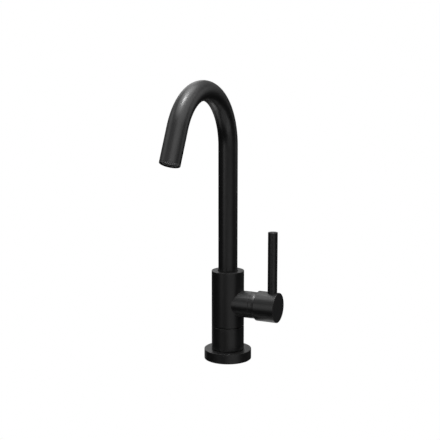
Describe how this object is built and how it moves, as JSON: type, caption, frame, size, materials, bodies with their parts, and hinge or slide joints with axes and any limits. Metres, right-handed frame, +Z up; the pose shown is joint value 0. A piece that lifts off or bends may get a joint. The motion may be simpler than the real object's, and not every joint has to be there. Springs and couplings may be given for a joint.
{
  "type": "side-lever basin mixer",
  "caption": "Deck-mounted basin mixer in satin black: a gooseneck spout that swivels, and a side lever that turns for temperature and tilts outwards for flow.",
  "frame": {"origin": "on the body's upright axis, in the plane of the deck that the base flange stands on", "axes": "+Z up from the deck; the spout's outlet points towards -Y at rest; the branch and the handle run towards +X"},
  "size_m": [0.0866, 0.1673, 0.309],
  "materials": {
    "black_finish": "satin black, electroplated or powder coated over brass",
    "rubber": "matt black",
    "brass": "machined",
    "steel": "machined stainless steel",
    "black_plastic": "moulded, satin",
    "grey_plastic": "moulded, matt",
    "acetal": "moulded, satin white",
    "ceramic": "ground and lapped ceramic"
  },
  "bodies": {
    "body": {"base_flange": "black_finish", "flange_gasket": "rubber", "base_collar": "black_finish", "collar_o_ring": "rubber", "mixer_body": "black_finish", "spout_grub_screw": "steel", "spout_slip_washer": "acetal", "cartridge_port_seals": "rubber", "cartridge_base": "grey_plastic", "cartridge_casing": "black_plastic", "fixed_ceramic_disc": "ceramic", "cartridge_nut": "brass", "bonnet": "black_finish"},
    "spout": {"spout_adapter": "brass", "spout_o_rings": "rubber", "spout_tube": "black_finish", "aerator_housing": "black_plastic", "aerator_honeycomb": "grey_plastic", "aerator_screen": "steel", "aerator_washer": "rubber"},
    "rotor": {"cartridge_rotor": "black_plastic", "rotor_o_ring": "rubber", "pivot_pin": "steel"},
    "handle": {"lever_spindle": "brass", "handle_hub": "black_finish", "lever_rod": "black_finish", "handle_grub_screw": "steel"},
    "disc_slide": {"sliding_ceramic_disc": "ceramic", "disc_carrier": "acetal"}
  },
  "joints": [
    {"name": "spout_swivel", "type": "hinge", "parent": "body", "child": "spout", "pos_m": [0, 0, 0.09], "axis": [0, 0, 1], "continuous": true},
    {"name": "temperature_turn", "type": "hinge", "parent": "body", "child": "rotor", "pos_m": [0.0324, 0, 0.0638], "axis": [1, 0, 0], "range_deg": [-45, 45]},
    {"name": "flow_tilt", "type": "hinge", "parent": "rotor", "child": "handle", "pos_m": [0.0324, 0, 0.0638], "axis": [0, 1, 0], "range_deg": [0, 25]},
    {"name": "disc_travel", "type": "slide", "parent": "rotor", "child": "disc_slide", "axis": [0, 0, 1], "range_m": [0, 0.00316]}
  ],
  "couplings": [
    {"joint": "disc_travel", "follows": "flow_tilt", "m_per_rad": 0.0072}
  ]
}
